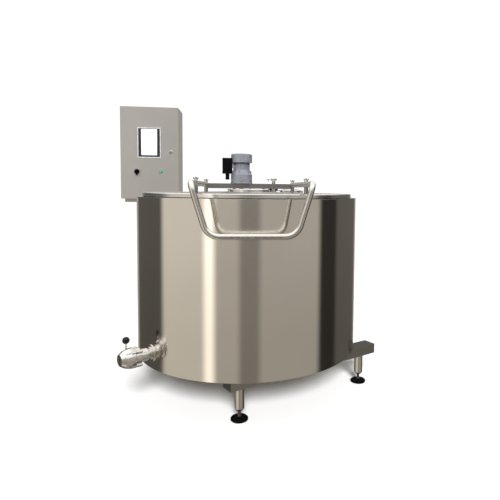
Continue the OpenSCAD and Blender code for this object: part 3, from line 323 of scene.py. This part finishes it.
NODE_LOOKS = {
    "shell": ["outer_shell"],
    "lid": ["lid_shell", "inspection_ring", "inspection_cover"],
    "ring": ["top_ring"],
    "vessel": ["inner_vessel", "agitator_shaft", "agitator_blades"],
    "tube": ["lift_handle", "outlet_pipe", "valve_lever"],
    "cast": ["union_nut", "valve_body", "valve_disc", "wing_nuts", "cleaning_fitting"],
    "frame": ["bottom_cover", "hinge_brackets", "hinge_leaves", "cabinet_bracket"],
    "dull": ["bridge_bar", "handle_studs"],
    "leg": ["leg_tubes"],
    "base": ["base_beams", "beam_end_caps"],
    "cabinet": ["cabinet_box", "cabinet_door", "switch_plate"],
    "evaporator": ["evaporator_plate"],
    "fine": ["valve_bolts", "hinge_pins", "motor_rotor", "button_ring", "lock_barrel"],
    "paint": ["gearbox_housing", "motor_housing", "fan_cowl"],
    "black": ["terminal_box", "cooling_fan", "cover_grip", "switch_knob"],
    "knob": ["lever_knob"],
    "seal": ["valve_seals"],
    "gear": ["mounting_plate"],
    "bezel": ["display_frame"],
    "green": ["button_cap"],
    "rubber": ["lid_gasket", "shaft_seal", "door_gasket"] + [f"foot_pad_{i}" for i in range(1, 5)],
    "thread": [f"foot_spindle_{i}" for i in range(1, 5)],
    "foam": ["insulation"],
    "winding": ["stator"],
    "glass": ["display_screen"],
}


def dress_nodes():
    for look, names in NODE_LOOKS.items():
        for name in names:
            mesh = NODES[name].data
            mesh.materials.clear()
            mesh.materials.append(LOOKS[look])


# ---------- mesh helpers ----------
def new_piece(name, mesh_tools, look, body, smooth=True):
    """A piece from a finished bmesh, riding on a body."""
    mesh = bpy.data.meshes.new(name)
    bmesh.ops.recalc_face_normals(mesh_tools, faces=mesh_tools.faces)
    mesh_tools.to_mesh(mesh)
    mesh_tools.free()
    for face in mesh.polygons:
        face.use_smooth = smooth
    mesh.materials.append(LOOKS[look])
    piece = bpy.data.objects.new(name, mesh)
    bpy.context.scene.collection.objects.link(piece)
    if smooth:
        mesh.set_sharp_from_angle(angle=math.radians(35))
    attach(piece, body)
    return piece


def turn(tools, profile, place, steps=24):
    """Adds a turned solid: profile is (radius, height) from one pole to the other, along place's Z."""
    rings = []
    for radius, height in profile:
        if radius < 1e-6:
            rings.append([tools.verts.new(place @ Vector((0, 0, height)))])
            continue
        angles = [2 * math.pi * i / steps for i in range(steps)]
        rings.append([tools.verts.new(place @ Vector((radius * math.cos(a), radius * math.sin(a), height)))
                      for a in angles])
    for low, high in zip(rings, rings[1:]):
        for i in range(steps):
            j = (i + 1) % steps
            corners = [low[i % len(low)], low[j % len(low)], high[j % len(high)], high[i % len(high)]]
            distinct = list(dict.fromkeys(corners))
            if len(distinct) > 2:
                tools.faces.new(distinct)


def bead(tools, path, radius, sides=8, closed=True):
    """Adds a weld bead: a tube along the path whose ripples follow each other."""
    count = len(path)
    rings = []
    for i, point in enumerate(path):
        ahead = path[(i + 1) % count] if closed or i + 1 < count else point
        behind = path[i - 1] if closed or i else point
        along = (ahead - behind).normalized()
        side = along.cross(UP if abs(along.z) < 0.9 else RIGHT).normalized()
        top = side.cross(along)
        r = radius * (1.0 if i % 2 else 0.82)
        rings.append([tools.verts.new(point + r * (math.cos(2 * math.pi * k / sides) * side
                                                   + math.sin(2 * math.pi * k / sides) * top))
                      for k in range(sides)])
    pairs = list(zip(rings, rings[1:] + rings[:1])) if closed else list(zip(rings, rings[1:]))
    for a, b in pairs:
        for k in range(sides):
            tools.faces.new([a[k], a[(k + 1) % sides], b[(k + 1) % sides], b[k]])
    if not closed:
        tools.faces.new(rings[0])
        tools.faces.new(rings[-1])


def facing(point, outward):
    """A place at point whose Z looks outward."""
    turned = outward.to_track_quat("Z", "Y").to_matrix().to_4x4()
    return Matrix.Translation(point) @ turned


def hex_head(tools, place, width, height):
    """Adds a hexagon screw head on a washer."""
    washer = height * 0.25
    turn(tools, [(0, 0), (width * 0.75, 0), (width * 0.75, washer), (0, washer)], place, 20)
    r = width / math.sqrt(3)
    turn(tools, [(0, washer), (r, washer), (r, height * 0.92), (r * 0.86, height), (0, height)], place, 6)


def socket_head(tools, place, radius, height):
    """Adds a round screw head with a hollow for its key."""
    key_r, key_floor = radius * 0.5, height * 0.45
    turn(tools, [(0, 0), (radius, 0), (radius, height * 0.85), (radius * 0.88, height), (key_r, height),
                 (key_r, key_floor), (0, key_floor)], place, 18)


# ---------- pieces ----------
def lit_screen():
    """The lit field of the display, a thin pane with rounded corners in front of the dark glass."""
    low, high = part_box("display_screen")
    side_border, low_border, top_border, corner, stand_off = 0.020, 0.012, 0.005, 0.003, 0.0004
    x0, x1 = low.x + side_border, high.x - side_border
    z0, z1 = low.z + low_border, high.z - top_border
    tools = bmesh.new()
    outline = []
    quarter_steps = 4
    for cx, cz, start in ((x1, z1, 0), (x0, z1, 90), (x0, z0, 180), (x1, z0, 270)):
        for step in range(quarter_steps + 1):
            a = math.radians(start + step * 90 / quarter_steps)
            inner_x = cx + corner * (1 if cx == x0 else -1)
            inner_z = cz + corner * (1 if cz == z0 else -1)
            outline.append(Vector((inner_x + corner * math.cos(a), low.y - stand_off,
                                   inner_z + corner * math.sin(a))))
    front = tools.faces.new([tools.verts.new(p) for p in outline])
    made = bmesh.ops.extrude_face_region(tools, geom=[front])
    moved = [v for v in made["geom"] if isinstance(v, bmesh.types.BMVert)]
    sunk = 0.0002
    bmesh.ops.translate(tools, verts=moved, vec=Vector((0, stand_off + sunk, 0)))
    new_piece("lit_screen", tools, "lit", "door", smooth=False)


def drive_screws():
    """Screws of the gearbox flange, the fan cowl and the terminal box's cover."""
    low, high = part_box("gearbox_housing")
    axis = Vector(((low.x + high.x) / 2, (low.y + high.y) / 2, 0))
    flange_r, flange_top = (high.x - low.x) / 2, low.z + 0.008
    tools = bmesh.new()
    for i in range(6):
        a = math.radians(30 + 60 * i)
        out = Vector((math.cos(a), math.sin(a), 0))
        seat = axis + out * (flange_r - 0.0005) + UP * (flange_top + 0.012)
        hex_head(tools, facing(seat, out), 0.009, 0.004)
    new_piece("gearbox_screws", tools, "fine", "lid")

    low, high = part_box("fan_cowl")
    cowl_r = (high.x - low.x) / 2
    tools = bmesh.new()
    for i in range(4):
        a = math.radians(20 + 90 * i)
        out = Vector((math.cos(a), math.sin(a), 0))
        socket_head(tools, facing(axis + out * (cowl_r - 0.0006) + UP * (low.z + 0.012), out), 0.004, 0.0028)
    new_piece("cowl_screws", tools, "fine", "lid")

    low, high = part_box("terminal_box")
    gland_part = 0.036
    tools = bmesh.new()
    for y in (low.y + 0.009, high.y - 0.009):
        for z in (low.z + gland_part + 0.009, high.z - 0.009):
            socket_head(tools, facing(Vector((low.x + 0.0008, y, z)), -RIGHT), 0.0042, 0.0022)
    new_piece("terminal_screws", tools, "fine", "lid")


def outlet_weld():
    """Weld bead round the outlet pipe where it leaves the shell."""
    joint = next(j for j in frame["joints"] if j["name"] == "valve_turn")
    stem = Vector(joint["pos_m"])
    away = Vector((stem.x - AXIS.x, stem.y - AXIS.y, 0)).normalized()
    side = UP.cross(away)
    pipe_r, bead_r, steps = 0.0272, 0.0022, 72    # the bead follows the pipe's outer face
    path = []
    for i in range(steps):
        a = 2 * math.pi * i / steps
        across, up = pipe_r * math.cos(a), pipe_r * math.sin(a)
        out = math.sqrt(TANK_R ** 2 - across ** 2)
        path.append(AXIS + away * out + side * across + UP * (stem.z + up))
    tools = bmesh.new()
    bead(tools, path, bead_r)
    new_piece("outlet_weld", tools, "weld", "tank")


def leg_welds():
    """Weld beads round the tops of the leg sockets, under the beams."""
    tools = bmesh.new()
    beam_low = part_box("base_beams")[0].z
    leg_r, below_beam, bead_r, steps = 0.025, 0.0006, 0.0018, 56
    for i in range(1, 5):
        middle = centre_of(f"foot_spindle_{i}")
        path = [Vector((middle.x + leg_r * math.cos(2 * math.pi * k / steps),
                        middle.y + leg_r * math.sin(2 * math.pi * k / steps), beam_low - below_beam))
                for k in range(steps)]
        bead(tools, path, bead_r)
    new_piece("leg_welds", tools, "weld", "tank")


# ---------- studio ----------
# what stands round the tank: its first and last azimuth in degrees, counted from the front towards the right,
# and its brightness
PANELS = [
    (-180, -150, 0.40),   # soft fill behind the tank
    (-150, -95, 0.10),    # dark flag at the left
    (-95, -45, 0.70),     # broad soft panel at the left
    (-45, -35, 1.60),     # strip lamp
    (-35, -10, 0.50),     # soft panel at the front
    (-10, 10, 0.25),      # gap where the camera stands
    (10, 75, 0.45),       # broad soft panel at the right
    (75, 100, 0.03),      # black flag
    (100, 150, 0.12),     # dark flag at the right
    (150, 180, 0.40),     # soft fill behind the tank
]
PANEL_EDGE = 3              # degrees over which a panel fades into the next
GROUND_SHARE = 0.8          # the panels' brightness near the ground
WARM = (1.0, 0.94, 0.855)
GROUND_WARM = (1.0, 0.93, 0.81)
OVERHEAD = 1.45
SKY_ON_MATT = 0.26          # the sky's brightness on the floor, paint and plastics


def panel_ramp(tree, turned, share, tint):
    """The panels round the tank as a ramp over the azimuth, each level over its own width."""
    ramp = add(tree, "ShaderNodeValToRGB", {0: turned})
    stops = ramp.color_ramp.elements
    places = []
    for first, last, level in PANELS:
        places += [(first + PANEL_EDGE, level * share), (last - PANEL_EDGE, level * share)]
    for i, (azimuth, level) in enumerate(places):
        stop = stops[i] if i < 2 else stops.new(azimuth / 360 + 0.5)
        stop.position = azimuth / 360 + 0.5
        stop.color = (*(level * t for t in tint), 1)
    return ramp.outputs[0]


def studio_world():
    """Soft light panels and dark flags that stand round the tank, under a bright ceiling."""
    world = bpy.data.worlds.new("studio")
    bpy.context.scene.world = world
    world.use_nodes = True
    tree = world.node_tree
    tree.nodes.clear()
    part = add(tree, "ShaderNodeSeparateXYZ", {0: add(tree, "ShaderNodeTexCoord").outputs["Generated"]})
    x, y, z = part.outputs
    azimuth = maths(tree, "ARCTAN2", x, maths(tree, "MULTIPLY", y, -1.0))
    turned = spread(tree, azimuth, 0.0, 1.0, -math.pi, math.pi)
    around = panel_ramp(tree, turned, 1.0, WARM)
    ground = panel_ramp(tree, turned, GROUND_SHARE, GROUND_WARM)
    down = add(tree, "ShaderNodeMapRange", {"Value": z, "From Min": -0.08, "From Max": -0.30}).outputs[0]
    up = add(tree, "ShaderNodeMapRange", {"Value": z, "From Min": 0.30, "From Max": 0.62}).outputs[0]
    low_mix = add(tree, "ShaderNodeMix", {0: down}, data_type="RGBA")
    tree.links.new(around, low_mix.inputs[6])
    tree.links.new(ground, low_mix.inputs[7])
    full = add(tree, "ShaderNodeMix", {0: up}, data_type="RGBA")
    tree.links.new(low_mix.outputs[2], full.inputs[6])
    full.inputs[7].default_value = (OVERHEAD, OVERHEAD, OVERHEAD, 1)
    path = add(tree, "ShaderNodeLightPath")
    mirrored = add(tree, "ShaderNodeBackground", {"Color": full.outputs[2], "Strength": 1.0})
    soft = add(tree, "ShaderNodeBackground", {"Color": (1, 1, 1, 1), "Strength": SKY_ON_MATT})
    plain = add(tree, "ShaderNodeBackground", {"Color": (1, 1, 1, 1), "Strength": 1.05})
    light = add(tree, "ShaderNodeMixShader", {0: path.outputs["Is Diffuse Ray"], 1: mirrored.outputs[0],
                                              2: soft.outputs[0]})
    mixed = add(tree, "ShaderNodeMixShader", {0: path.outputs["Is Camera Ray"], 1: light.outputs[0],
                                              2: plain.outputs[0]})
    out = add(tree, "ShaderNodeOutputWorld")
    tree.links.new(mixed.outputs[0], out.inputs["Surface"])


def studio_floor():
    """A plain pale floor that the metal doesn't mirror."""
    size = 30.0
    bpy.ops.mesh.primitive_plane_add(size=size, location=(0, 0, 0))
    floor = bpy.context.object
    floor.name = "studio_floor"
    material, tree, shader = start_material("studio_floor", rough=0.9)
    shader.inputs["Base Color"].default_value = (0.93, 0.93, 0.93, 1)
    shader.inputs["Specular IOR Level"].default_value = 0.1
    floor.data.materials.append(material)
    floor.visible_glossy = False


def studio_camera():
    """The camera stands in front of the tank, a little above its rim, and looks slightly down and to the
    right."""
    data = bpy.data.cameras.new("camera")
    camera = bpy.data.objects.new("camera", data)
    bpy.context.scene.collection.objects.link(camera)
    bpy.context.scene.camera = camera
    camera.location = AXIS + Vector((-0.053, -2.906, 1.1688))
    yaw, pitch, roll = math.radians(7.5), math.radians(3.72), math.radians(0.615)
    camera.rotation_euler = (Matrix.Rotation(-yaw, 3, "Z") @ Matrix.Rotation(math.pi / 2 - pitch, 3, "X")
                             @ Matrix.Rotation(roll, 3, "Z")).to_euler()
    data.sensor_width = 36.0
    data.lens = 33.9
    data.shift_x = -0.104
    data.shift_y = -0.06


def studio_light():
    """A wide soft lamp high in front, which the metal doesn't mirror; shadows fall back under the tank."""
    data = bpy.data.lights.new("front_key", "SUN")
    data.energy, data.angle = 5.2, math.radians(20)
    lamp = bpy.data.objects.new("front_key", data)
    bpy.context.scene.collection.objects.link(lamp)
    lamp.visible_glossy = False
    travels = Vector((-0.03, 0.84, -0.54))
    lamp.rotation_euler = travels.to_track_quat("-Z", "Y").to_euler()


dress_nodes()
lit_screen()
drive_screws()
outlet_weld()
leg_welds()
studio_world()
studio_floor()
studio_light()
studio_camera()
bpy.context.scene.view_settings.view_transform = "Standard"
